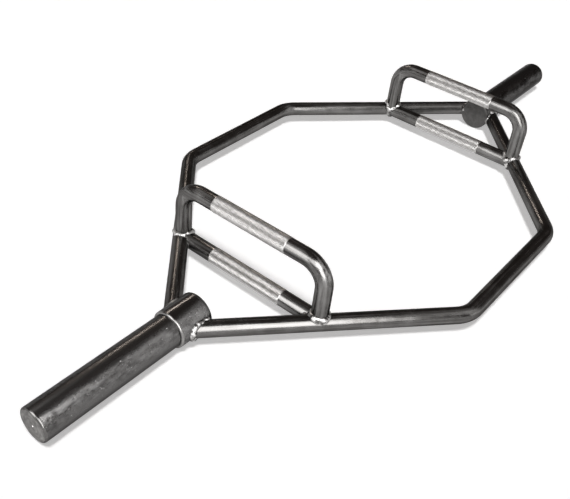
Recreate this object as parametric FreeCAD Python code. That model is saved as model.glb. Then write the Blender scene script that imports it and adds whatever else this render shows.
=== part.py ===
"""Hex trap bar: a welded hexagon of round steel bar with a low and a raised pair of grips and two loading sleeves.

X runs along the sleeves, Y across the frame and Z up. The origin is on the floor, under the middle of the hexagon.
"""
import FreeCAD, Part
import math
import os

Vector = FreeCAD.Vector
UP = Vector(0, 0, 1)
ALONG = Vector(1, 0, 0)

# Driving dimensions, in millimetres
BAR_DIAMETER = 25.4  # solid round bar of the rails and the grips
FRAME_WIDTH = 560.0  # between the axes of the two rails' straight runs
RAIL_RUN = 270.0  # straight run of a rail, from corner to corner on its axis
APEX_SPAN = 911.0  # between the points where the arms' axes meet over the sleeve axis
FRAME_DROP = 2.7  # the frame's plane below the sleeve axis
RAIL_BEND_RADIUS = 50.0  # on the bar's axis
GRIP_SPAN = 596.0  # between the grips of the two hands
RAISED_GRIP_RISE = 95.5  # raised grip's axis above the frame's plane
RAISED_LEG_INSET = 5.5  # a raised grip's leg axis, inboard of where the low grip meets the arm
RAISED_BEND_RADIUS = 36.0  # on the bar's axis
KNURL_LENGTH = 135.0
KNURL_HEIGHT = 0.3  # how far rolled knurling stands proud of the bar
SLEEVE_DIAMETER = 50.0
SLEEVE_WALL = 5.0
SPIGOT_STEP = 1.0  # how far the sleeve is turned down where it sits in the collar
LOADING_LENGTH = 217.5  # from the collar's stop face to the sleeve's end
SLEEVE_CHAMFER = 1.5
COLLAR_STEP = 3.5  # height of the collar's stop face over the sleeve
COLLAR_LENGTH = 57.0  # with its cap
COLLAR_CHAMFER = 2.0
COLLAR_LIP = 0.5  # from an arm's foot to the collar's inner end
CAP_THICKNESS = 5.0
CAP_CHAMFER = 2.0
PLUG_THICKNESS = 8.0
PLUG_RECESS = 0.6  # how far the plug's face lies inside the sleeve's end
CENTRE_MARK_DIAMETER = 3.0
COLLAR_FIT = 0.05  # radial, collar bore over the sleeve's spigot
PLUG_FIT = 0.05  # radial, plug in sleeve bore

# Weld beads, in millimetres
RAIL_WELD_LEG = 4.5  # bead width on the collar and on the arm
LOW_WELD_LEG_ON_GRIP = 4.2
LOW_WELD_LEG_ON_RAIL = 3.6
RAISED_WELD_WIDTH = 5.0  # from a raised grip's leg to the bead's outside
RAISED_WELD_RISE = 3.5  # bead's top above the crest of the rail
RAISED_WELD_SKIRT = 8.0  # bead's lower edge below the crest of the rail
RAISED_WELD_SHARES = ((0, 0), (1, 0), (1, 0.4), (0.6, 0.8), (0, 1))  # of its width and height
LOW_WELD_TOP_SHARE = 0.45  # of the bar's radius: where the low bead stops above the frame's plane

# Derived places
BAR_RADIUS = BAR_DIAMETER / 2
SLEEVE_RADIUS = SLEEVE_DIAMETER / 2
COLLAR_RADIUS = SLEEVE_RADIUS + COLLAR_STEP
SLEEVE_HEIGHT = COLLAR_RADIUS  # the collars rest on the floor
FRAME_HEIGHT = SLEEVE_HEIGHT - FRAME_DROP
HALF_WIDTH = FRAME_WIDTH / 2
HALF_RUN = RAIL_RUN / 2
APEX_X = APEX_SPAN / 2
GRIP_X = GRIP_SPAN / 2
ARM_ANGLE = math.atan2(HALF_WIDTH, APEX_X - HALF_RUN)  # between an arm and the sleeve axis
ARM_Y_AT_GRIP = (APEX_X - GRIP_X) * math.tan(ARM_ANGLE)
LEG_Y = ARM_Y_AT_GRIP - RAISED_LEG_INSET
ARM_FOOT_X = APEX_X - COLLAR_RADIUS / math.tan(ARM_ANGLE)
COLLAR_INNER_X = ARM_FOOT_X - BAR_RADIUS / math.sin(ARM_ANGLE) - COLLAR_LIP
COLLAR_OUTER_X = COLLAR_INNER_X + COLLAR_LENGTH
SLEEVE_END_X = COLLAR_OUTER_X + LOADING_LENGTH
OVERRUN = BAR_DIAMETER  # how far cutting shapes and uncut ends run past a face

SIDES = {"left": -1, "right": 1}  # along X
FLANKS = {"front": -1, "rear": 1}  # along Y


def rod(start, end, radius):
    """A round rod between two points on its axis."""
    return Part.makeCylinder(radius, (end - start).Length, start, end - start)


def largest(shape):
    """The main solid of a cut, without the offcuts on the far side of the cutter."""
    return max(shape.Solids, key=lambda solid: solid.Volume)


def rim(piece, x):
    """The outer edge of a turned piece's end face at a place along its axis."""
    circles = [edge for edge in piece.Edges if isinstance(edge.Curve, Part.Circle)]
    nearest = min(abs(edge.Curve.Center.x - x) for edge in circles)
    at_face = [edge for edge in circles if abs(edge.Curve.Center.x - x) == nearest]
    return [max(at_face, key=lambda edge: edge.Curve.Radius)]


def bent_bar(corners, bend_radius, radius):
    """A round bar along straight runs joined by tangent bends."""
    pieces = []
    start = corners[0]
    for before, corner, after in zip(corners, corners[1:], corners[2:]):
        incoming = (corner - before).normalize()
        outgoing = (after - corner).normalize()
        turn = incoming.getAngle(outgoing)
        setback = bend_radius * math.tan(turn / 2)
        bend_start = corner - incoming * setback
        bend_end = corner + outgoing * setback
        hinge = incoming.cross(outgoing).normalize()
        centre = bend_start + hinge.cross(incoming) * bend_radius
        section = Part.Face(Part.Wire([Part.makeCircle(radius, bend_start, incoming)]))
        pieces.append(rod(start, bend_start, radius))
        pieces.append(section.revolve(centre, hinge, math.degrees(turn)))
        start = bend_end
    pieces.append(rod(start, corners[-1], radius))
    return pieces[0].fuse(pieces[1:]).removeSplitter()


def collar_envelope(side):
    """The collar and its cap as one plain cylinder, for coping the arms against."""
    inner = Vector(side * COLLAR_INNER_X, 0, SLEEVE_HEIGHT)
    outer = Vector(side * COLLAR_OUTER_X, 0, SLEEVE_HEIGHT)
    return rod(inner, outer, COLLAR_RADIUS)


def sleeve_tube(side):
    """Loading sleeve: a tube with a spigot in the collar, a shoulder on its stop face and a chamfered free end."""
    inner = Vector(side * (COLLAR_INNER_X + CAP_THICKNESS), 0, SLEEVE_HEIGHT)
    shoulder = Vector(side * COLLAR_OUTER_X, 0, SLEEVE_HEIGHT)
    outer = Vector(side * SLEEVE_END_X, 0, SLEEVE_HEIGHT)
    free_length = rod(shoulder, outer, SLEEVE_RADIUS)
    chamfered = free_length.makeChamfer(SLEEVE_CHAMFER, rim(free_length, outer.x))
    outside = chamfered.fuse(rod(inner, shoulder, SLEEVE_RADIUS - SPIGOT_STEP))
    return outside.cut(rod(inner, outer, SLEEVE_RADIUS - SLEEVE_WALL))


def stop_collar(side):
    """Collar: a short tube over the sleeve's spigot, with a chamfered rim on its stop face."""
    inner = Vector(side * (COLLAR_INNER_X + CAP_THICKNESS), 0, SLEEVE_HEIGHT)
    outer = Vector(side * COLLAR_OUTER_X, 0, SLEEVE_HEIGHT)
    outside = rod(inner, outer, COLLAR_RADIUS)
    chamfered = outside.makeChamfer(COLLAR_CHAMFER, rim(outside, outer.x))
    return chamfered.cut(rod(inner, outer, SLEEVE_RADIUS - SPIGOT_STEP + COLLAR_FIT))


def inner_cap(side):
    """Disc that closes the collar towards the lifter."""
    inner = Vector(side * COLLAR_INNER_X, 0, SLEEVE_HEIGHT)
    seat = Vector(side * (COLLAR_INNER_X + CAP_THICKNESS), 0, SLEEVE_HEIGHT)
    disc = rod(inner, seat, COLLAR_RADIUS)
    return disc.makeChamfer(CAP_CHAMFER, rim(disc, inner.x))


def end_plug(side):
    """Disc that closes the sleeve's free end, with the lathe's centre mark."""
    face_x = SLEEVE_END_X - PLUG_RECESS
    face = Vector(side * face_x, 0, SLEEVE_HEIGHT)
    back = Vector(side * (face_x - PLUG_THICKNESS), 0, SLEEVE_HEIGHT)
    disc = rod(back, face, SLEEVE_RADIUS - SLEEVE_WALL - PLUG_FIT)
    mark_radius = CENTRE_MARK_DIAMETER / 2
    mark = Part.makeCone(mark_radius, 0, mark_radius, face, ALONG * -side)
    return disc.cut(mark)


def rail(flank):
    """Side rail: one bar bent at two corners, with each end coped to a collar."""
    corners = [
        Vector(-APEX_X, 0, FRAME_HEIGHT),
        Vector(-HALF_RUN, flank * HALF_WIDTH, FRAME_HEIGHT),
        Vector(HALF_RUN, flank * HALF_WIDTH, FRAME_HEIGHT),
        Vector(APEX_X, 0, FRAME_HEIGHT),
    ]
    bar = bent_bar(corners, RAIL_BEND_RADIUS, BAR_RADIUS)
    for side in SIDES.values():
        bar = largest(bar.cut(collar_envelope(side)))
    return bar


def knurled_band(side, height):
    """The knurled stretch of a grip, a little proud of the bar."""
    half = KNURL_LENGTH / 2
    x = side * GRIP_X
    return rod(Vector(x, -half, height), Vector(x, half, height), BAR_RADIUS + KNURL_HEIGHT)


def low_grip(side, rails):
    """Low grip: a straight bar across the frame, coped to both rails."""
    reach = ARM_Y_AT_GRIP + OVERRUN
    x = side * GRIP_X
    bar = rod(Vector(x, -reach, FRAME_HEIGHT), Vector(x, reach, FRAME_HEIGHT), BAR_RADIUS)
    for piece in rails:
        bar = largest(bar.cut(piece))
    return bar.fuse(knurled_band(side, FRAME_HEIGHT)).removeSplitter()


def raised_grip(side, supports):
    """Raised grip: a bar bent down into two legs, coped to the rails and the low grip under it."""
    x = side * GRIP_X
    top = FRAME_HEIGHT + RAISED_GRIP_RISE
    foot = FRAME_HEIGHT - BAR_DIAMETER
    corners = [Vector(x, -LEG_Y, foot), Vector(x, -LEG_Y, top), Vector(x, LEG_Y, top), Vector(x, LEG_Y, foot)]
    bar = bent_bar(corners, RAISED_BEND_RADIUS, BAR_RADIUS)
    for piece in supports:
        bar = largest(bar.cut(piece))
    return bar.fuse(knurled_band(side, top)).removeSplitter()


def arm_axis(side, flank):
    """The end points of an arm's axis: the corner and the apex on the sleeve axis."""
    corner = Vector(side * HALF_RUN, flank * HALF_WIDTH, FRAME_HEIGHT)
    apex = Vector(side * APEX_X, 0, FRAME_HEIGHT)
    return corner, apex


def rail_weld(side, flank):
    """Bead round an arm's foot on the collar."""
    corner, apex = arm_axis(side, flank)
    inner = Vector(side * COLLAR_INNER_X, 0, SLEEVE_HEIGHT)
    outer = Vector(side * COLLAR_OUTER_X, 0, SLEEVE_HEIGHT)
    round_arm = rod(apex, corner, BAR_RADIUS + RAIL_WELD_LEG)
    round_collar = rod(inner, outer, COLLAR_RADIUS + RAIL_WELD_LEG)
    bead = round_arm.common(round_collar)
    return largest(bead.cut(rod(inner, outer, COLLAR_RADIUS)).cut(rod(apex, corner, BAR_RADIUS)))


def raised_weld(side, flank, neighbours):
    """Bead round the foot of a raised grip's leg: a turned ring, cut by what it lies on."""
    foot = Vector(side * GRIP_X, flank * LEG_Y, FRAME_HEIGHT + BAR_RADIUS - RAISED_WELD_SKIRT)
    height = RAISED_WELD_SKIRT + RAISED_WELD_RISE
    outline = [foot + ALONG * (BAR_RADIUS + wide * RAISED_WELD_WIDTH) + UP * (high * height)
               for wide, high in RAISED_WELD_SHARES]
    section = Part.Face(Part.makePolygon(outline + outline[:1]))
    bead = section.revolve(foot, UP)
    for piece in neighbours:
        bead = largest(bead.cut(piece))
    return bead


def low_weld(side, flank, neighbours):
    """Bead under the end of a low grip, from one side of the leg above to the other."""
    corner, apex = arm_axis(side, flank)
    x = side * GRIP_X
    end = Vector(x, flank * ARM_Y_AT_GRIP, FRAME_HEIGHT)
    round_grip = rod(Vector(x, 0, FRAME_HEIGHT), end, BAR_RADIUS + LOW_WELD_LEG_ON_GRIP)
    round_arm = rod(apex, corner, BAR_RADIUS + LOW_WELD_LEG_ON_RAIL)
    top = FRAME_HEIGHT + LOW_WELD_TOP_SHARE * BAR_RADIUS
    above = Part.makeBox(APEX_SPAN, FRAME_WIDTH, RAISED_GRIP_RISE, Vector(-APEX_X, -HALF_WIDTH, top))
    bead = round_grip.common(round_arm).cut(above)
    for piece in neighbours:
        bead = largest(bead.cut(piece))
    return bead


def build():
    """Every node's shape by its name."""
    nodes = {f"{name}_rail": rail(flank) for name, flank in FLANKS.items()}
    rails = list(nodes.values())
    for name, side in SIDES.items():
        nodes[f"{name}_sleeve_tube"] = sleeve_tube(side)
        nodes[f"{name}_stop_collar"] = stop_collar(side)
        nodes[f"{name}_inner_cap"] = inner_cap(side)
        nodes[f"{name}_end_plug"] = end_plug(side)
        low = low_grip(side, rails)
        raised = raised_grip(side, rails + [low])
        nodes[f"{name}_low_grip"] = low
        nodes[f"{name}_raised_grip"] = raised
        for flank_name, flank in FLANKS.items():
            own_rail = nodes[f"{flank_name}_rail"]
            nodes[f"{name}_{flank_name}_rail_weld"] = rail_weld(side, flank)
            leg_bead = raised_weld(side, flank, [low, own_rail])
            nodes[f"{name}_{flank_name}_raised_weld"] = leg_bead
            nodes[f"{name}_{flank_name}_low_weld"] = low_weld(side, flank, [low, own_rail, raised, leg_bead])
    return nodes


os.makedirs("parts", exist_ok=True)
for node, shape in build().items():
    shape.exportStep(f"parts/{node}.step")
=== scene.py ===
import math
import random

import bmesh
import bpy
from mathutils import Matrix, Vector

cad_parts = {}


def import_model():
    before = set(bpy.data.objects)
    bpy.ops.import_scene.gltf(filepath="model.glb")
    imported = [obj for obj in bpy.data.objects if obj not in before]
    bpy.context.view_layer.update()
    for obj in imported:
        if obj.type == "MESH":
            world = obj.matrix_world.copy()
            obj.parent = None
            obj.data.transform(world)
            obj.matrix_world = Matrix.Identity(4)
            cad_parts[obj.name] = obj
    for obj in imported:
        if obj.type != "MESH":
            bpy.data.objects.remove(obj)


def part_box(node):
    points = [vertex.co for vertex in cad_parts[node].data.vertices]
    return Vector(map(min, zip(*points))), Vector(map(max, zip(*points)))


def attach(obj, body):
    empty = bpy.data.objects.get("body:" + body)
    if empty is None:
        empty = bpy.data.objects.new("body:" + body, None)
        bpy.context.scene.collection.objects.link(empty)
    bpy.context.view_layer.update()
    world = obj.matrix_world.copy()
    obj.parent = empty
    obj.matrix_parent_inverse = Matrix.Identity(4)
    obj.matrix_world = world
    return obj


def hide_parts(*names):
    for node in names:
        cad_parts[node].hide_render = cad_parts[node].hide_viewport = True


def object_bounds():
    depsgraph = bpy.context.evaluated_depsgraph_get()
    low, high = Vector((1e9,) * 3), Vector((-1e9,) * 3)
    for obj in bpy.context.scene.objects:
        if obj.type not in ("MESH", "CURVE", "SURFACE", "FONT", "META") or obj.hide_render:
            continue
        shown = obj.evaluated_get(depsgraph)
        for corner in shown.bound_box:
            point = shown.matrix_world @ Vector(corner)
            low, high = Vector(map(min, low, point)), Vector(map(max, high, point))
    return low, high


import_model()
cad_low, cad_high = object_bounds()
draw = random.Random(25)

# Sizes read from the frame, in metres
rail_low, rail_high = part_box("front_rail")
sleeve_low, sleeve_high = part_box("right_sleeve_tube")
collar_low, collar_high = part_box("right_stop_collar")
cap_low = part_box("right_inner_cap")[0]
plug_low, plug_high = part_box("right_end_plug")
low_grip_low, low_grip_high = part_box("right_low_grip")
raised_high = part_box("right_raised_grip")[1]

BAR_RADIUS = (rail_high.z - rail_low.z) / 2
FRAME_HEIGHT = (rail_high.z + rail_low.z) / 2
HALF_WIDTH = -rail_low.y - BAR_RADIUS
SLEEVE_RADIUS = (sleeve_high.z - sleeve_low.z) / 2
SLEEVE_HEIGHT = (sleeve_high.z + sleeve_low.z) / 2
SLEEVE_END_X = sleeve_high.x
COLLAR_RADIUS = (collar_high.z - collar_low.z) / 2
COLLAR_OUTER_X = collar_high.x
COLLAR_SEAT_X = collar_low.x
CAP_FACE_X = cap_low.x
PLUG_RADIUS = (plug_high.z - plug_low.z) / 2
PLUG_BACK_X = plug_low.x
GRIP_X = (low_grip_low.x + low_grip_high.x) / 2
KNURL_HEIGHT = (low_grip_high.x - low_grip_low.x) / 2 - BAR_RADIUS
KNURL_STEP = KNURL_HEIGHT / 3
RAISED_HEIGHT = raised_high.z - KNURL_HEIGHT - BAR_RADIUS
LEG_Y = raised_high.y - BAR_RADIUS

# Sizes of runs, bends, knurling, fits and rounded rims, in metres
HALF_RUN = 0.135
APEX_X = 0.4555
RAIL_BEND_RADIUS = 0.050
RAISED_BEND_RADIUS = 0.036
KNURL_LENGTH = 0.135
KNURL_SHOULDER = 0.0004
SPIGOT_STEP = 0.001
FIT_GAP = 0.00005
SLEEVE_ROUND = 0.0030
COLLAR_ROUND = 0.0030
CAP_ROUND = 0.0021
CENTRE_MARK_RADIUS = 0.0015

# Mesh fineness and angles
BAR_SIDES = 88
BEND_STEPS = 20
KNURL_ROWS = 92
TURNED_SIDES = 96
ROUND_STEPS = 8
SMOOTH_ANGLE = math.radians(28)
SQUARE_ON = 0.99

# Weld beads, in metres
BEAD_PITCH = 0.0019
BEAD_SINK = 0.0018
RAIL_BEAD = 0.0054
RAISED_BEAD = 0.0056
LOW_BEAD = 0.0048
BEAD_VOXEL = 0.0007
RAIL_JOINT_LENGTH = 2.4 * math.pi * BAR_RADIUS
RAISED_JOINT_LENGTH = 2 * math.pi * BAR_RADIUS
LOW_JOINT_LENGTH = 1.5 * math.pi * BAR_RADIUS

# Weld beads, as shares and counts
LEAST_BLOB = 0.75
MOST_BLOB = 1.2
BLOB_STRAY = 0.25
SETTLE_SHARE = 0.5
SETTLE_ROUNDS = 20
LOW_BEAD_TOP_SHARE = 0.45

SIDES = {"left": -1, "right": 1}
FLANKS = {"front": -1, "rear": 1}
UP = Vector((0, 0, 1))
ARM_ANGLE = math.atan2(HALF_WIDTH, APEX_X - HALF_RUN)
ARM_Y_AT_GRIP = (APEX_X - GRIP_X) * math.tan(ARM_ANGLE)


# Modelling by hand

def deselect_all():
    bpy.ops.object.select_all(action="DESELECT")


def pick(piece):
    """Selects one piece alone and makes it the active one."""
    deselect_all()
    piece.select_set(True)
    bpy.context.view_layer.objects.active = piece


def start_ring(name, place, ahead, radius, sides):
    """A new piece that begins as one open ring across a direction, ready to be extruded."""
    deselect_all()
    turn = ahead.to_track_quat("Z", "Y").to_euler()
    bpy.ops.mesh.primitive_circle_add(vertices=sides, radius=radius, fill_type="NOTHING",
                                      location=place, rotation=turn)
    piece = bpy.context.object
    piece.name = name
    bpy.ops.object.transform_apply(location=True, rotation=True, scale=True)
    bpy.ops.object.mode_set(mode="EDIT")
    bpy.ops.mesh.select_mode(type="VERT")
    bpy.ops.mesh.select_all(action="SELECT")
    return piece


def run_on(step, rows=1):
    """Extrudes the selected ring straight on, in one or more rows."""
    bpy.ops.mesh.extrude_repeat(steps=rows, offset=step / rows)


def widen(centre, share):
    """Scales the selected ring about its centre."""
    bpy.ops.transform.resize(value=(share, share, share), center_override=centre)


def bend_start(corner, incoming, outgoing, bend_radius):
    """Where a tangent bend round a corner begins."""
    return corner - incoming * bend_radius * math.tan(incoming.angle(outgoing) / 2)


def bend_on(corner, incoming, outgoing, bend_radius):
    """Spins the selected ring round a tangent bend at a corner. Returns where the bend ends."""
    turn = incoming.angle(outgoing)
    setback = bend_radius * math.tan(turn / 2)
    hinge = incoming.cross(outgoing).normalized()
    centre = corner - incoming * setback + hinge.cross(incoming) * bend_radius
    bpy.ops.mesh.spin(steps=BEND_STEPS, dupli=False, angle=-turn, center=centre, axis=hinge)
    return corner + outgoing * setback


def close_ends():
    """Closes the open rings of the piece in edit mode and turns its faces outwards."""
    bpy.ops.mesh.select_all(action="SELECT")
    bpy.ops.mesh.fill_holes(sides=0)
    bpy.ops.mesh.normals_make_consistent(inside=False)
    bpy.ops.object.mode_set(mode="OBJECT")


def bent_bar(name, corners, bend_radius, knurled):
    """A round bar along straight runs and bends. A knurled bar has rows of faces on its middle run."""
    runs = [(after - before).normalized() for before, after in zip(corners, corners[1:])]
    bar = start_ring(name, corners[0], runs[0], BAR_RADIUS, BAR_SIDES)
    here = corners[0]
    for index, run in enumerate(runs):
        last = index == len(runs) - 1
        end = corners[-1] if last else bend_start(corners[index + 1], run, runs[index + 1], bend_radius)
        if knurled and index == len(runs) // 2:
            middle = (corners[index] + corners[index + 1]) / 2
            knurl_start = middle - run * KNURL_LENGTH / 2
            knurl_end = middle + run * KNURL_LENGTH / 2
            shoulder = run * KNURL_SHOULDER
            run_on(knurl_start - here)
            run_on(shoulder)
            widen(knurl_start + shoulder, 1 + KNURL_STEP / BAR_RADIUS)
            run_on(knurl_end - knurl_start - 2 * shoulder, KNURL_ROWS)
            run_on(shoulder)
            widen(knurl_end, 1 / (1 + KNURL_STEP / BAR_RADIUS))
            here = knurl_end
        run_on(end - here)
        here = end
        if not last:
            here = bend_on(corners[index + 1], run, runs[index + 1], bend_radius)
    close_ends()
    return bar


def mark_grain(bar, corners, hinge):
    """Stores on each point how far along the bar it lies and where round it, for a finish that follows it."""
    grain_marks = bar.data.attributes.new("grain", "FLOAT_VECTOR", "POINT")
    for vertex, mark in zip(bar.data.vertices, grain_marks.data):
        nearest = math.inf
        travelled = 0
        for before, after in zip(corners, corners[1:]):
            run = (after - before).normalized()
            length = (after - before).length
            along = min(max((vertex.co - before).dot(run), 0), length)
            offset = vertex.co - before - run * along
            if offset.length < nearest:
                nearest = offset.length
                mark.vector = (travelled + along, offset.dot(hinge), offset.dot(hinge.cross(run)))
            travelled += length


def apply_modifiers(piece):
    pick(piece)
    for modifier in list(piece.modifiers):
        bpy.ops.object.modifier_apply(modifier=modifier.name)


def cut_by_rod(piece, start, end, radius):
    """Copes a piece with a round cutter between two points."""
    cutter = start_ring("cutter", start, end - start, radius, TURNED_SIDES)
    run_on(end - start)
    close_ends()
    cope = piece.modifiers.new("cope", "BOOLEAN")
    cope.operation = "DIFFERENCE"
    cope.solver = "EXACT"
    cope.object = cutter
    apply_modifiers(piece)
    bpy.data.objects.remove(cutter)


def keep_main_shell(piece):
    """Removes the offcuts that a cope leaves beyond the cutter."""
    shape = bmesh.new()
    shape.from_mesh(piece.data)
    waiting = set(shape.verts)
    shells = []
    while waiting:
        edge_of_shell = [waiting.pop()]
        shell = set(edge_of_shell)
        while edge_of_shell:
            point = edge_of_shell.pop()
            for edge in point.link_edges:
                other = edge.other_vert(point)
                if other in waiting:
                    waiting.discard(other)
                    shell.add(other)
                    edge_of_shell.append(other)
        shells.append(shell)
    main = max(shells, key=len)
    offcuts = [point for shell in shells if shell is not main for point in shell]
    bmesh.ops.delete(shape, geom=offcuts, context="VERTS")
    shape.to_mesh(piece.data)
    shape.free()


def select_edges(piece, test):
    """Selects in edit mode the edges that pass a test on their two end points."""
    bpy.ops.mesh.select_all(action="DESELECT")
    bpy.ops.mesh.select_mode(type="EDGE")
    shape = bmesh.from_edit_mesh(piece.data)
    for edge in shape.edges:
        edge.select_set(test(edge.verts[0].co, edge.verts[1].co))
    shape.select_flush_mode()
    bmesh.update_edit_mesh(piece.data)


def select_faces(piece, test):
    """Selects in edit mode the faces that pass a test."""
    bpy.ops.mesh.select_all(action="DESELECT")
    bpy.ops.mesh.select_mode(type="FACE")
    shape = bmesh.from_edit_mesh(piece.data)
    for face in shape.faces:
        face.select_set(test(face))
    shape.select_flush_mode()
    bmesh.update_edit_mesh(piece.data)


def plate(piece, *materials):
    """Gives a piece its finishes. Its faces start with the first."""
    for material in materials:
        piece.data.materials.append(material)


def give_faces(piece, index, test):
    """Gives the faces that pass a test the piece's finish of that number."""
    bpy.ops.object.mode_set(mode="EDIT")
    select_faces(piece, test)
    piece.active_material_index = index
    bpy.ops.object.material_slot_assign()
    bpy.ops.object.mode_set(mode="OBJECT")


def knurl(piece):
    """Rolls diamonds into the rows of faces on a grip's middle run and raises each to a point."""
    half = KNURL_LENGTH / 2 - KNURL_SHOULDER
    close = BAR_RADIUS / BAR_SIDES
    very_close = close / 10

    def within(face, reach):
        return all(abs(vertex.co.y) < reach + close for vertex in face.verts)

    def in_band(face):
        return within(face, half)

    def along_or_round(a, b):
        inside = max(abs(a.y), abs(b.y)) < half + close
        round_bar = abs(a.y - b.y) < very_close
        along_bar = math.hypot(a.x - b.x, a.z - b.z) < very_close
        at_end = abs(a.y) > half - close and round_bar
        return inside and (round_bar or along_bar) and not at_end

    bpy.ops.object.mode_set(mode="EDIT")
    select_faces(piece, in_band)
    bpy.ops.mesh.poke()
    select_edges(piece, along_or_round)
    bpy.ops.mesh.dissolve_edges(use_verts=False)
    select_faces(piece, lambda face: in_band(face) and len(face.verts) == 4)
    bpy.ops.mesh.poke(offset=KNURL_HEIGHT - KNURL_STEP)
    bpy.ops.object.mode_set(mode="OBJECT")
    give_faces(piece, 1, lambda face: within(face, KNURL_LENGTH / 2))


def rounded_rim(place, radius, width):
    """Profile steps over the rounded rim of an end face, from the outside to the face."""
    turns = [math.pi / 2 * step / ROUND_STEPS for step in range(ROUND_STEPS + 1)]
    return [(place - width * (1 - math.sin(turn)), radius - width * (1 - math.cos(turn))) for turn in turns]


def turned_piece(name, side, profile, hollow):
    """A turned piece on the sleeve axis, ring by ring: each step of its profile is a place and a radius."""
    place, radius = profile[0]
    along = Vector((side, 0, 0))
    piece = start_ring(name, Vector((side * place, 0, SLEEVE_HEIGHT)), along, radius, TURNED_SIDES)
    for (place, radius), (next_place, next_radius) in zip(profile, profile[1:]):
        run_on(along * (next_place - place))
        share = next_radius / radius
        bpy.ops.transform.resize(value=(1, share, share),
                                 center_override=(side * next_place, 0, SLEEVE_HEIGHT))
    if hollow:
        bpy.ops.mesh.select_all(action="DESELECT")
        bpy.ops.mesh.select_non_manifold()
        bpy.ops.mesh.bridge_edge_loops()
    close_ends()
    return piece


def bead(name, path, size):
    """A weld bead: overlapping blobs of uneven size along a joint, melted into one skin."""
    deselect_all()
    for index, place in enumerate(path):
        radius = size * draw.uniform(LEAST_BLOB, MOST_BLOB)
        stray = Vector([draw.uniform(-1, 1) for axis in range(3)]) * size * BLOB_STRAY
        bpy.ops.mesh.primitive_ico_sphere_add(subdivisions=2, radius=radius, location=place + stray)
        if index == 0:
            piece = bpy.context.object
            piece.name = name
            bpy.ops.object.transform_apply(location=True, rotation=True, scale=True)
            bpy.ops.object.mode_set(mode="EDIT")
    bpy.ops.object.mode_set(mode="OBJECT")
    melt = piece.modifiers.new("melt", "REMESH")
    melt.mode = "VOXEL"
    melt.voxel_size = BEAD_VOXEL
    settle = piece.modifiers.new("settle", "SMOOTH")
    settle.factor = SETTLE_SHARE
    settle.iterations = SETTLE_ROUNDS
    apply_modifiers(piece)
    return piece


# Materials

EDGE_TINT = 0.3
GRAIN_SQUEEZE = 0.03
SMUDGE_TOP_SHARE = 0.97
BAR_CHROME = (0.085, 0.082, 0.079)
# Haze colours: handling haze, and also painted reflection streaks along the bars.
BAR_HAZE_AND_SHEEN = (0.19, 0.186, 0.183)
HANDLED_CHROME = (0.09, 0.087, 0.084)
HANDLED_HAZE_AND_SHEEN = (0.25, 0.246, 0.242)
SLEEVE_STAIN = (0.045, 0.043, 0.042)
SLEEVE_SMUDGE = (0.2, 0.197, 0.195)
# Pit colour: a painted glint.
PIT_PAINTED_GLINT = (0.6, 0.59, 0.58)
KNURL_PALE = (0.58, 0.57, 0.56)
KNURL_GREY = (0.38, 0.373, 0.366)
KNURL_ROUGHNESS = 0.3
CAP_CHROME = (0.085, 0.083, 0.081)
END_FACE_CHROME = (0.16, 0.157, 0.154)
WORN_RIM_CHROME = (0.13, 0.127, 0.124)
# Lighter collar rim colour: a painted highlight on the rounded rim.
COLLAR_RIM_HIGHLIGHT_COLOUR = (0.22, 0.216, 0.212)
# Bright centre mark colour: a painted highlight.
CENTRE_MARK_HIGHLIGHT_COLOUR = (0.6, 0.59, 0.58)
# Weld colours: painted shade for the hollows, painted highlight for the lumps.
WELD_PAINTED_HOLLOW_SHADE = (0.13, 0.127, 0.124)
WELD_PAINTED_HIGHLIGHT = (0.62, 0.612, 0.604)

# Colour sockets of the Mix node
FIRST_COLOUR = 6
SECOND_COLOUR = 7
MIXED_COLOUR = 2


def new_material(name):
    """A plated metal that darkens a little where it is seen edge on."""
    material = bpy.data.materials.new(name)
    material.use_nodes = True
    shader = material.node_tree.nodes["Principled BSDF"]
    shader.inputs["Metallic"].default_value = 1.0
    shader.inputs["Specular Tint"].default_value = (EDGE_TINT, EDGE_TINT, EDGE_TINT, 1)
    return material, material.node_tree, shader


def node(tree, kind, **values):
    made = tree.nodes.new(kind)
    for name, value in values.items():
        setattr(made, name, value)
    return made


def noise(tree, vector, scale, detail=3.0, roughness=0.55):
    made = node(tree, "ShaderNodeTexNoise")
    tree.links.new(vector, made.inputs["Vector"])
    made.inputs["Scale"].default_value = scale
    made.inputs["Detail"].default_value = detail
    made.inputs["Roughness"].default_value = roughness
    return made.outputs["Fac"]


def spread(tree, value, limits, results):
    """Turns a value between two limits into one between two results, and holds it there outside them."""
    made = node(tree, "ShaderNodeMapRange")
    tree.links.new(value, made.inputs["Value"])
    made.inputs["From Min"].default_value, made.inputs["From Max"].default_value = limits
    made.inputs["To Min"].default_value, made.inputs["To Max"].default_value = results
    return made.outputs["Result"]


def both(tree, operation, first, second):
    """One value worked out from two."""
    made = node(tree, "ShaderNodeMath", operation=operation)
    tree.links.new(first, made.inputs[0])
    tree.links.new(second, made.inputs[1])
    return made.outputs[0]


def part_of(tree, vector, axis):
    """One coordinate of a vector."""
    made = node(tree, "ShaderNodeSeparateXYZ")
    tree.links.new(vector, made.inputs[0])
    return made.outputs[axis]


def blend_colours(tree, factor, first, second):
    made = node(tree, "ShaderNodeMix", data_type="RGBA")
    tree.links.new(factor, made.inputs["Factor"])
    made.inputs[FIRST_COLOUR].default_value = (*first, 1)
    made.inputs[SECOND_COLOUR].default_value = (*second, 1)
    return made.outputs[MIXED_COLOUR]


def blend_over(tree, factor, under, colour):
    """Lays a colour over one that comes from other nodes."""
    made = node(tree, "ShaderNodeMix", data_type="RGBA")
    tree.links.new(factor, made.inputs["Factor"])
    tree.links.new(under, made.inputs[FIRST_COLOUR])
    made.inputs[SECOND_COLOUR].default_value = (*colour, 1)
    return made.outputs[MIXED_COLOUR]


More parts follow.
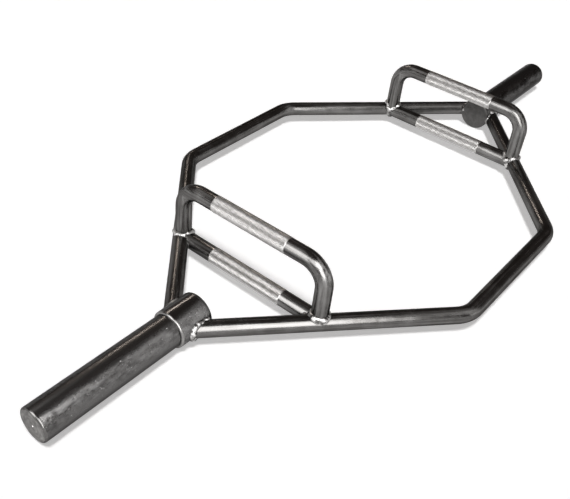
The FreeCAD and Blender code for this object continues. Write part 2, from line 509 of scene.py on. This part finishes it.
def mapped(tree, vector, setting, value):
    """Coordinates that are moved or scaled along each axis."""
    mapping = node(tree, "ShaderNodeMapping")
    mapping.inputs[setting].default_value = value
    tree.links.new(vector, mapping.inputs["Vector"])
    return mapping.outputs["Vector"]


def in_place(tree):
    """Object coordinates, the same in every direction."""
    return node(tree, "ShaderNodeTexCoord").outputs["Object"]


def bumped(tree, shader, height, distance, strength=1.0):
    made = node(tree, "ShaderNodeBump")
    made.inputs["Distance"].default_value = distance
    made.inputs["Strength"].default_value = strength
    tree.links.new(height, made.inputs["Height"])
    tree.links.new(made.outputs["Normal"], shader.inputs["Normal"])


def drawn_chrome(name, clean, haze_and_sheen):
    """Plated bar: satin, a little wavy, with clouds of handling haze and lighter lines along it that are
    partly drawing lines and partly painted reflection streaks.
    """
    material, tree, shader = new_material(name)
    even = in_place(tree)
    marks = node(tree, "ShaderNodeAttribute", attribute_name="grain").outputs["Vector"]
    along = mapped(tree, marks, "Scale", (GRAIN_SQUEEZE, 1, 1))
    lines = noise(tree, along, scale=420, detail=4)
    bands = noise(tree, along, scale=150, detail=2)
    clouds = noise(tree, even, scale=38)
    ripple = noise(tree, even, scale=95, detail=2)
    # Lighter streaks along the bar: partly drawing lines, partly painted reflection streaks.
    drawn_and_painted_streaks = both(tree, "ADD", spread(tree, bands, (0.48, 0.62), (0, 0.45)),
                   spread(tree, lines, (0.42, 0.65), (0, 0.35)))
    haze_and_painted_streaks = both(tree, "ADD", spread(tree, clouds, (0.4, 0.7), (0, 0.35)), drawn_and_painted_streaks)
    tree.links.new(spread(tree, haze_and_painted_streaks, (0, 1), (0.2, 0.36)), shader.inputs["Roughness"])
    tree.links.new(blend_colours(tree, haze_and_painted_streaks, clean, haze_and_sheen), shader.inputs["Base Color"])
    relief = both(tree, "ADD", ripple, spread(tree, lines, (0, 1), (0, 0.12)))
    bumped(tree, shader, relief, distance=0.0005, strength=0.2)
    return material


def smudged_chrome(name, low, high, polish, patch_scale, speck_scale, cover, dents):
    """Plated sleeve metal: dented, stained, smudged and pitted on its flanks, between two heights, with
    painted glints in the pits.
    """
    material, tree, shader = new_material(name)
    even = in_place(tree)
    drawn_out = mapped(tree, even, "Scale", (0.5, 1, 1))
    height = part_of(tree, even, "Z")
    above = spread(tree, height, (low, low + (high - low) / 3), (0, 1))
    below = spread(tree, height, (high - (high - low) / 6, high), (1, 0))
    flank = both(tree, "MULTIPLY", above, below)

    patches = noise(tree, drawn_out, patch_scale, detail=8, roughness=0.72)
    smudge = both(tree, "MULTIPLY", flank, spread(tree, patches, (0.52 - cover, 0.74 - cover), (0, 1)))
    spots = noise(tree, drawn_out, patch_scale * 0.7, detail=6, roughness=0.65)
    stain = both(tree, "MULTIPLY", flank, spread(tree, spots, (0.48, 0.62), (0, 0.8)))
    swarms = noise(tree, even, patch_scale * 1.7)
    clusters = both(tree, "MULTIPLY", flank, spread(tree, swarms, (0.56 - cover, 0.66 - cover), (0, 1)))
    cells = node(tree, "ShaderNodeTexVoronoi")
    tree.links.new(even, cells.inputs["Vector"])
    cells.inputs["Scale"].default_value = speck_scale
    pits = spread(tree, cells.outputs["Distance"], (0.14, 0.28), (1, 0))
    specks = both(tree, "MULTIPLY", pits, clusters)

    tree.links.new(spread(tree, smudge, (0, 1), (polish, 0.42)), shader.inputs["Roughness"])
    tone = spread(tree, both(tree, "SUBTRACT", smudge, stain), (-1, 1), (0, 1))
    skin = blend_colours(tree, tone, SLEEVE_STAIN, SLEEVE_SMUDGE)
    # The pits are real dents in the bump; their bright colour is a painted glint.
    painted_pit_glints = spread(tree, specks, (0, 1), (0, 0.45))
    tree.links.new(blend_over(tree, painted_pit_glints, skin, PIT_PAINTED_GLINT), shader.inputs["Base Color"])
    waves = spread(tree, noise(tree, even, scale=60), (0, 1), (-0.5, 0.5))
    fine = spread(tree, noise(tree, even, speck_scale * 1.6, detail=4), (0, 1), (-0.1, 0.1))
    relief = both(tree, "SUBTRACT", both(tree, "ADD", waves, fine), specks)
    bumped(tree, shader, both(tree, "MULTIPLY", flank, relief), dents)
    return material


def dull_chrome(name, colour, roughness):
    """Caps, rims and marks: duller, with a cloudy skin."""
    material, tree, shader = new_material(name)
    clouds = noise(tree, in_place(tree), scale=130, detail=5)
    rough = spread(tree, clouds, (0.35, 0.7), (roughness * 0.8, roughness * 1.25))
    tree.links.new(rough, shader.inputs["Roughness"])
    lighter = tuple(value * 1.4 for value in colour)
    skin = blend_colours(tree, spread(tree, clouds, (0.4, 0.7), (0, 1)), colour, lighter)
    tree.links.new(skin, shader.inputs["Base Color"])
    return material


def turned_face(name, colour, roughness):
    """Faced-off plug metal: faint turning rings under a blotchy skin."""
    material, tree, shader = new_material(name)
    centred = mapped(tree, in_place(tree), "Location", (0, 0, -SLEEVE_HEIGHT))
    rings = node(tree, "ShaderNodeTexWave", wave_type="RINGS", rings_direction="X")
    tree.links.new(centred, rings.inputs["Vector"])
    rings.inputs["Scale"].default_value = 60
    rings.inputs["Distortion"].default_value = 3
    rings.inputs["Detail"].default_value = 3
    rings.inputs["Detail Scale"].default_value = 2
    blotches = noise(tree, centred, scale=150, detail=6, roughness=0.65)
    skin = both(tree, "ADD", spread(tree, blotches, (0.36, 0.66), (0, 0.75)),
                spread(tree, rings.outputs["Fac"], (0, 1), (0, 0.3)))
    lighter = tuple(value * 3 for value in colour)
    tree.links.new(blend_colours(tree, skin, colour, lighter), shader.inputs["Base Color"])
    rough = spread(tree, skin, (0, 1), (roughness * 0.8, roughness * 1.2))
    tree.links.new(rough, shader.inputs["Roughness"])
    return material


def knurl_steel():
    """Rolled knurling: pale satin plating on sharp points."""
    material, tree, shader = new_material("knurl_steel")
    shader.inputs["Roughness"].default_value = KNURL_ROUGHNESS
    clouds = noise(tree, in_place(tree), scale=190, detail=5)
    skin = blend_colours(tree, spread(tree, clouds, (0.35, 0.7), (0, 1)), KNURL_GREY, KNURL_PALE)
    tree.links.new(skin, shader.inputs["Base Color"])
    return material


def weld_chrome():
    """Plated weld metal: lumpy, with painted shade in its hollows and painted highlights on its lumps."""
    material, tree, shader = new_material("weld_chrome")
    lumps = noise(tree, in_place(tree), scale=130, detail=4, roughness=0.6)
    tree.links.new(spread(tree, lumps, (0.35, 0.7), (0.24, 0.42)), shader.inputs["Roughness"])
    # Painted shade where the lumps are low, painted highlight where they are high; the same noise drives the
    # bump.
    skin = blend_colours(tree, spread(tree, lumps, (0.42, 0.6), (0, 1)), WELD_PAINTED_HOLLOW_SHADE, WELD_PAINTED_HIGHLIGHT)
    tree.links.new(skin, shader.inputs["Base Color"])
    bumped(tree, shader, lumps, distance=0.0022, strength=0.6)
    return material


BAR = drawn_chrome("bar_chrome", BAR_CHROME, BAR_HAZE_AND_SHEEN)
GRIP = drawn_chrome("grip_chrome", HANDLED_CHROME, HANDLED_HAZE_AND_SHEEN)
SLEEVE = smudged_chrome("sleeve_chrome", low=SLEEVE_HEIGHT,
                        high=SLEEVE_HEIGHT + SMUDGE_TOP_SHARE * SLEEVE_RADIUS,
                        polish=0.27, patch_scale=90, speck_scale=230, cover=0.035, dents=0.0010)
COLLAR = smudged_chrome("collar_chrome", low=0, high=SLEEVE_HEIGHT + SMUDGE_TOP_SHARE * COLLAR_RADIUS,
                        polish=0.2, patch_scale=130, speck_scale=240, cover=0.16, dents=0.0014)
CAP = dull_chrome("cap_chrome", CAP_CHROME, roughness=0.34)
END_FACE = turned_face("end_face_chrome", END_FACE_CHROME, roughness=0.34)
WORN_RIM = dull_chrome("worn_rim_chrome", WORN_RIM_CHROME, roughness=0.26)
# Rougher rim plating; its lighter colour is a painted highlight.
COLLAR_RIM_PAINTED_HIGHLIGHT = dull_chrome("collar_rim_painted_highlight", COLLAR_RIM_HIGHLIGHT_COLOUR, roughness=0.33)
# The centre mark's bright colour is a painted highlight.
CENTRE_MARK_PAINTED_HIGHLIGHT = dull_chrome("centre_mark_painted_highlight", CENTRE_MARK_HIGHLIGHT_COLOUR, roughness=0.3)
KNURL = knurl_steel()
WELD = weld_chrome()


# Pieces

def finished(piece, cad_node):
    """Smooths a modelled piece and hands it over to the frame in place of its node."""
    pick(piece)
    bpy.ops.object.shade_smooth_by_angle(angle=SMOOTH_ANGLE)
    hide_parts(cad_node)
    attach(piece, "root")


def rail(name, flank):
    corners = [Vector((-APEX_X, 0, FRAME_HEIGHT)), Vector((-HALF_RUN, flank * HALF_WIDTH, FRAME_HEIGHT)),
               Vector((HALF_RUN, flank * HALF_WIDTH, FRAME_HEIGHT)), Vector((APEX_X, 0, FRAME_HEIGHT))]
    bar = bent_bar(f"{name}_rail_bar", corners, RAIL_BEND_RADIUS, knurled=False)
    for side in SIDES.values():
        cut_by_rod(bar, Vector((side * CAP_FACE_X, 0, SLEEVE_HEIGHT)),
                   Vector((side * COLLAR_OUTER_X, 0, SLEEVE_HEIGHT)), COLLAR_RADIUS)
    keep_main_shell(bar)
    mark_grain(bar, corners, UP)
    plate(bar, BAR)
    finished(bar, f"{name}_rail")


def arm_ends(side, flank):
    """The corner and the apex of an arm's axis."""
    corner = Vector((side * HALF_RUN, flank * HALF_WIDTH, FRAME_HEIGHT))
    apex = Vector((side * APEX_X, 0, FRAME_HEIGHT))
    return corner, apex


def grip(name, side, corners, bend_radius):
    """A knurled bar along a few corners, coped to the two arms of its side."""
    bar = bent_bar(f"{name}_bar", corners, bend_radius, knurled=True)
    plate(bar, GRIP, KNURL)
    for flank in FLANKS.values():
        corner, apex = arm_ends(side, flank)
        cut_by_rod(bar, corner, apex, BAR_RADIUS + FIT_GAP)
    keep_main_shell(bar)
    knurl(bar)
    mark_grain(bar, corners, Vector((1, 0, 0)))
    finished(bar, name)


def low_grip(name, side):
    x = side * GRIP_X
    ends = [Vector((x, -ARM_Y_AT_GRIP, FRAME_HEIGHT)), Vector((x, ARM_Y_AT_GRIP, FRAME_HEIGHT))]
    grip(f"{name}_low_grip", side, ends, 0)


def raised_grip(name, side):
    x = side * GRIP_X
    corners = [Vector((x, -LEG_Y, FRAME_HEIGHT)), Vector((x, -LEG_Y, RAISED_HEIGHT)),
               Vector((x, LEG_Y, RAISED_HEIGHT)), Vector((x, LEG_Y, FRAME_HEIGHT))]
    grip(f"{name}_raised_grip", side, corners, RAISED_BEND_RADIUS)


def sleeve_tube(name, side):
    bore = PLUG_RADIUS + FIT_GAP
    spigot = SLEEVE_RADIUS - SPIGOT_STEP
    rim = rounded_rim(SLEEVE_END_X, SLEEVE_RADIUS, SLEEVE_ROUND)
    profile = [(COLLAR_SEAT_X, spigot), (COLLAR_OUTER_X, spigot), (COLLAR_OUTER_X, SLEEVE_RADIUS), *rim,
               (SLEEVE_END_X, bore), (COLLAR_SEAT_X, bore)]
    tube = turned_piece(f"{name}_sleeve", side, profile, hollow=True)

    def on_rim(face):
        return abs(face.calc_center_median().x) > SLEEVE_END_X - SLEEVE_ROUND

    def on_end(face):
        beyond_collar = abs(face.verts[0].co.x) > COLLAR_OUTER_X + SLEEVE_ROUND
        return beyond_collar and abs(face.normal.x) > SQUARE_ON

    plate(tube, SLEEVE, WORN_RIM, END_FACE)
    give_faces(tube, 1, on_rim)
    give_faces(tube, 2, on_end)
    finished(tube, f"{name}_sleeve_tube")


def stop_collar(name, side):
    bore = SLEEVE_RADIUS - SPIGOT_STEP + FIT_GAP
    rim = rounded_rim(COLLAR_OUTER_X, COLLAR_RADIUS, COLLAR_ROUND)
    profile = [(COLLAR_SEAT_X, COLLAR_RADIUS), *rim, (COLLAR_OUTER_X, bore), (COLLAR_SEAT_X, bore)]
    collar = turned_piece(f"{name}_collar", side, profile, hollow=True)
    plate(collar, COLLAR, COLLAR_RIM_PAINTED_HIGHLIGHT)
    # The rounded rim gets the painted highlight finish.
    give_faces(collar, 1, lambda face: abs(face.calc_center_median().x) > COLLAR_OUTER_X - COLLAR_ROUND)
    finished(collar, f"{name}_stop_collar")


def inner_cap(name, side):
    outer_rim = rounded_rim(CAP_FACE_X, COLLAR_RADIUS, CAP_ROUND)
    rim = [(2 * CAP_FACE_X - place, radius) for place, radius in reversed(outer_rim)]
    cap = turned_piece(f"{name}_cap", side, [*rim, (COLLAR_SEAT_X, COLLAR_RADIUS)], hollow=False)
    plate(cap, CAP)
    finished(cap, f"{name}_inner_cap")


def end_plug(name, side):
    face_x = SLEEVE_END_X - FIT_GAP
    profile = [(PLUG_BACK_X, PLUG_RADIUS), (face_x, PLUG_RADIUS), (face_x, CENTRE_MARK_RADIUS),
               (face_x - CENTRE_MARK_RADIUS, CENTRE_MARK_RADIUS / 4)]
    plug = turned_piece(f"{name}_plug", side, profile, hollow=False)
    plate(plug, END_FACE, CENTRE_MARK_PAINTED_HIGHLIGHT)
    # The small faces of the centre mark get the painted highlight.
    give_faces(plug, 1, lambda face: face.calc_area() < CENTRE_MARK_RADIUS ** 2)
    finished(plug, f"{name}_end_plug")


def weld(name, path, size):
    piece = bead(f"{name}_bead", path, size)
    plate(piece, WELD)
    finished(piece, name)


def rail_bead(name, side, flank):
    """The bead round an arm's end on the collar."""
    corner, apex = arm_ends(side, flank)
    along = (corner - apex).normalized()
    across = along.cross(UP)
    count = round(RAIL_JOINT_LENGTH / BEAD_PITCH)
    path = []
    for index in range(count):
        turn = 2 * math.pi * index / count
        around = across * math.cos(turn) + UP * math.sin(turn)
        start = apex + around * (BAR_RADIUS - BEAD_SINK)
        off_axis = start.z - SLEEVE_HEIGHT
        reach = flank * math.sqrt((COLLAR_RADIUS - BEAD_SINK) ** 2 - off_axis ** 2)
        path.append(start + along * ((reach - start.y) / along.y))
    weld(name, path, RAIL_BEAD)


def arm_offset(point, side, flank):
    """How far a point lies outboard of an arm's axis, level with it."""
    corner, apex = arm_ends(side, flank)
    along = (corner - apex).normalized()
    outboard = Vector((-along.y, along.x, 0)) * side * -flank
    return (point - apex).dot(outboard)


def raised_bead(name, side, flank):
    """The bead round a leg of the raised grip, on the rail and the low grip."""
    count = round(RAISED_JOINT_LENGTH / BEAD_PITCH)
    path = []
    for index in range(count):
        turn = 2 * math.pi * index / count
        around = Vector((math.cos(turn), math.sin(turn), 0)) * (BAR_RADIUS - BEAD_SINK)
        point = Vector((side * GRIP_X, flank * LEG_Y, 0)) + around
        from_arm = arm_offset(point, side, flank)
        from_grip = point.x - side * GRIP_X
        rise = max(0, BAR_RADIUS ** 2 - from_arm ** 2)
        if from_arm < 0:
            rise = max(rise, BAR_RADIUS ** 2 - from_grip ** 2)
        point.z = FRAME_HEIGHT + math.sqrt(rise) - BEAD_SINK
        path.append(point)
    weld(name, path, RAISED_BEAD)


def low_bead(name, side, flank):
    """The bead under and beside a low grip's end on the rail, open at the top where the leg stands."""
    count = round(LOW_JOINT_LENGTH / BEAD_PITCH)
    top = math.asin(LOW_BEAD_TOP_SHARE)
    path = []
    for index in range(count):
        turn = -math.pi - top + (math.pi + 2 * top) * index / (count - 1)
        across = (BAR_RADIUS - BEAD_SINK) * math.cos(turn)
        height = (BAR_RADIUS - BEAD_SINK) * math.sin(turn)
        inboard = math.sqrt(BAR_RADIUS ** 2 - height ** 2)
        arm_y = (APEX_X - side * (side * GRIP_X + across)) * math.tan(ARM_ANGLE)
        y = arm_y - (inboard - BEAD_SINK) / math.cos(ARM_ANGLE)
        path.append(Vector((side * GRIP_X + across, flank * y, FRAME_HEIGHT + height)))
    weld(name, path, LOW_BEAD)


for flank_name, flank in FLANKS.items():
    rail(flank_name, flank)
for side_name, side in SIDES.items():
    low_grip(side_name, side)
    raised_grip(side_name, side)
    sleeve_tube(side_name, side)
    stop_collar(side_name, side)
    inner_cap(side_name, side)
    end_plug(side_name, side)
    for flank_name, flank in FLANKS.items():
        place = f"{side_name}_{flank_name}"
        rail_bead(f"{place}_rail_weld", side, flank)
        raised_bead(f"{place}_raised_weld", side, flank)
        low_bead(f"{place}_low_weld", side, flank)


# Floor, light and camera

FLOOR_SIZE = 16.0
FLOOR_COLOUR = (0.8, 0.8, 0.8)
FLOOR_GLOW = 0.4
WHITE = (1, 1, 1)
WARM = (1, 0.88, 0.78)
DIM_ROOM = (0.1, 0.085, 0.078)
HORIZON_TOP = 0.12
HORIZON_FADE = 0.2


def floor():
    """Pale floor that keeps the shadows and shows white to the eye and in the plating."""
    deselect_all()
    bpy.ops.mesh.primitive_plane_add(size=FLOOR_SIZE, location=(0, 0, cad_low.z))
    sheet = bpy.context.object
    sheet.name = "floor"
    material = bpy.data.materials.new("floor_white")
    material.use_nodes = True
    tree = material.node_tree
    tree.nodes.clear()
    paths = node(tree, "ShaderNodeLightPath")
    seen = both(tree, "ADD", paths.outputs["Is Camera Ray"], paths.outputs["Is Glossy Ray"])
    seen_or_through = both(tree, "ADD", seen, paths.outputs["Is Transmission Ray"])
    glow = node(tree, "ShaderNodeEmission")
    tree.links.new(spread(tree, seen_or_through, (0, 1), (0, FLOOR_GLOW)), glow.inputs["Strength"])
    matte = node(tree, "ShaderNodeBsdfDiffuse")
    matte.inputs["Color"].default_value = (*FLOOR_COLOUR, 1)
    surface = node(tree, "ShaderNodeAddShader")
    tree.links.new(matte.outputs[0], surface.inputs[0])
    tree.links.new(glow.outputs[0], surface.inputs[1])
    out = node(tree, "ShaderNodeOutputMaterial")
    tree.links.new(surface.outputs[0], out.inputs["Surface"])
    sheet.data.materials.append(material)


def direction(azimuth, elevation):
    """From the middle of the bar towards a lamp."""
    around, up = math.radians(azimuth), math.radians(elevation)
    return Vector((math.cos(up) * math.cos(around), math.cos(up) * math.sin(around), math.sin(up)))


def softbox(name, azimuth, elevation, distance, width, height, brightness, colour=WHITE):
    """A soft lamp that faces the bar from a direction, as bright to look at as a share of white."""
    data = bpy.data.lights.new(name, "AREA")
    data.shape = "RECTANGLE"
    data.size = width
    data.size_y = height
    data.energy = brightness * math.pi * width * height
    data.color = colour
    lamp = bpy.data.objects.new(name, data)
    bpy.context.scene.collection.objects.link(lamp)
    towards = direction(azimuth, elevation)
    lamp.location = towards * distance
    lamp.rotation_euler = towards.to_track_quat("Z", "Y").to_euler()
    return lamp


def plating_lamp(name, **place_and_light):
    """A lamp that shows in the plating and leaves the floor's shadows alone."""
    softbox(name, **place_and_light).visible_diffuse = False


def floor_lamp(azimuth, elevation, brightness, spread_angle):
    """A distant lamp on the camera's side that lights the floor evenly and leaves the plating alone."""
    data = bpy.data.lights.new("floor_light", "SUN")
    data.energy = brightness * math.pi / math.sin(math.radians(elevation))
    data.angle = math.radians(spread_angle)
    lamp = bpy.data.objects.new("floor_light", data)
    bpy.context.scene.collection.objects.link(lamp)
    lamp.rotation_euler = direction(azimuth, elevation).to_track_quat("Z", "Y").to_euler()
    lamp.visible_glossy = False


def world():
    """A dim room above a white horizon that carries the floor on."""
    sky = bpy.data.worlds.new("dim_room")
    sky.use_nodes = True
    tree = sky.node_tree
    height = part_of(tree, node(tree, "ShaderNodeTexCoord").outputs["Generated"], "Z")
    rise = spread(tree, height, (HORIZON_TOP, HORIZON_FADE), (0, 1))
    tree.links.new(blend_colours(tree, rise, WHITE, DIM_ROOM), tree.nodes["Background"].inputs["Color"])
    bpy.context.scene.world = sky


def camera():
    """The photograph's camera: where it stood, where it looked and how it was tilted."""
    frame_width, frame_height = 570, 499
    focal_pixels = 768.7
    centre_x, centre_y = 263.5, 247.9
    place = Vector((-0.9685, -0.5269, 0.7696))
    heading, dip, roll = math.radians(36.85), math.radians(38.91), math.radians(5.55)
    ahead = Vector((math.cos(dip) * math.cos(heading), math.cos(dip) * math.sin(heading), -math.sin(dip)))
    level = ahead.cross(UP).normalized()
    above = level.cross(ahead)
    right = level * math.cos(roll) + above * math.sin(roll)
    up = above * math.cos(roll) - level * math.sin(roll)
    data = bpy.data.cameras.new("photo_camera")
    data.sensor_width = 36
    data.lens = focal_pixels * data.sensor_width / frame_width
    data.shift_x = (frame_width / 2 - centre_x) / frame_width
    data.shift_y = (centre_y - frame_height / 2) / frame_width
    eye = bpy.data.objects.new("photo_camera", data)
    bpy.context.scene.collection.objects.link(eye)
    eye.matrix_world = Matrix.Translation(place) @ Matrix((right, up, -ahead)).transposed().to_4x4()
    bpy.context.scene.camera = eye


floor()
world()
plating_lamp("key", azimuth=-131, elevation=34, distance=1.6, width=0.76, height=1.38, brightness=8.5)
plating_lamp("left", azimuth=164, elevation=29, distance=1.65, width=0.62, height=1.17, brightness=5.5)
plating_lamp("right_fill", azimuth=-73, elevation=33, distance=1.66, width=0.78, height=2.03, brightness=1.3)
plating_lamp("top_left", azimuth=130, elevation=56, distance=2.4, width=1.9, height=1.1, brightness=0.8)
plating_lamp("back_strip", azimuth=66, elevation=35.3, distance=2.85, width=0.8, height=0.1, brightness=20,
             colour=WARM)
plating_lamp("front_sky", azimuth=-17, elevation=60, distance=3.7, width=1.6, height=0.43, brightness=0.9)
plating_lamp("rim_fill", azimuth=195, elevation=36, distance=1.65, width=0.7, height=0.8, brightness=3.5)
floor_lamp(azimuth=-142, elevation=71.5, brightness=0.67, spread_angle=12)
camera()
bpy.context.scene.view_settings.view_transform = "Standard"
